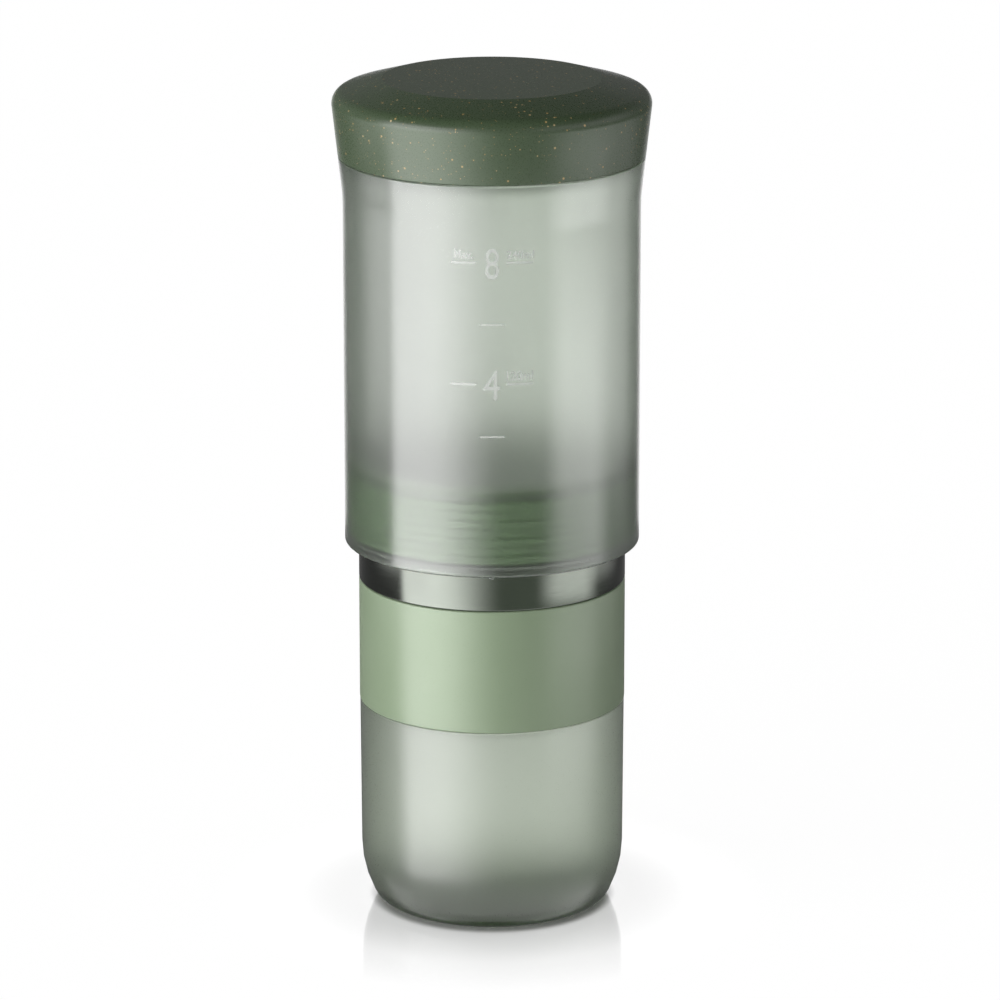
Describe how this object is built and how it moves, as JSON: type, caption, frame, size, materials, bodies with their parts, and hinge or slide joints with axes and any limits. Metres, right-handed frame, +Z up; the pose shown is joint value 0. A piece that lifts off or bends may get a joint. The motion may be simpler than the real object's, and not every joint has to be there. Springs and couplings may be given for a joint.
{
  "type": "portable press coffee brewer",
  "caption": "Telescoping hand press coffee brewer: a frosted graduated water chamber with a screw lid slides down over a steel tube with a ribbed piston, on a serving cup with a grip band.",
  "frame": {"origin": "centre of the cup's foot, on the table", "axes": "+Z up along the brewer's axis, graduated side facing -Y"},
  "size_m": [0.0802, 0.0802, 0.2152],
  "materials": {
    "frosted_chamber": "frosted clear plastic, satin outside",
    "frosted_cup": "frosted grey-green plastic",
    "speckled_lid": "satin moulded plastic with fine tan speckles",
    "inner_plastic": "matt moulded plastic",
    "cap_plastic": "matt moulded plastic",
    "grip_silicone": "matt silicone",
    "seal_silicone": "matt silicone",
    "polished_steel": "polished dark-toned stainless steel",
    "basket_steel": "satin stainless steel",
    "filter_steel": "perforated stainless steel"
  },
  "bodies": {
    "cup": {"serving_cup": "frosted_cup", "grip_band": "grip_silicone"},
    "vent": {"vent_washer": "grip_silicone"},
    "press_unit": {"press_tube": "polished_steel", "tube_collar": "inner_plastic", "piston_seal": "seal_silicone", "coffee_basket": "basket_steel", "basket_filter": "filter_steel", "filter_retainer": "seal_silicone", "screen_gasket": "seal_silicone"},
    "screen": {"screen_cap": "cap_plastic", "shower_screen": "filter_steel"},
    "chamber": {"water_chamber": "frosted_chamber"},
    "gasket": {"lid_gasket": "seal_silicone"},
    "lid": {"lid_cap": "speckled_lid", "lid_liner": "inner_plastic"}
  },
  "joints": [
    {"name": "press_unit_rise", "type": "slide", "parent": "cup", "child": "vent", "axis": [0, 0, 1], "range_m": [0, 0.009]},
    {"name": "press_unit_turn", "type": "hinge", "parent": "vent", "child": "press_unit", "pos_m": [0, 0, 0.087], "axis": [0, 0, 1], "range_deg": [0, 540]},
    {"name": "screen_cap_turn", "type": "hinge", "parent": "press_unit", "child": "screen", "pos_m": [0, 0, 0.116], "axis": [0, 0, 1], "range_deg": [0, 60]},
    {"name": "chamber_press", "type": "slide", "parent": "press_unit", "child": "chamber", "axis": [0, 0, 1], "range_m": [-0.078, 0]},
    {"name": "lid_rise", "type": "slide", "parent": "chamber", "child": "gasket", "axis": [0, 0, 1], "range_m": [0, 0.0105]},
    {"name": "lid_turn", "type": "hinge", "parent": "gasket", "child": "lid", "pos_m": [0, 0, 0.206], "axis": [0, 0, 1], "range_deg": [0, 630]}
  ],
  "couplings": [
    {"joint": "press_unit_rise", "follows": "press_unit_turn", "m_per_rad": 0.00095493},
    {"joint": "lid_rise", "follows": "lid_turn", "m_per_rad": 0.00095493}
  ]
}
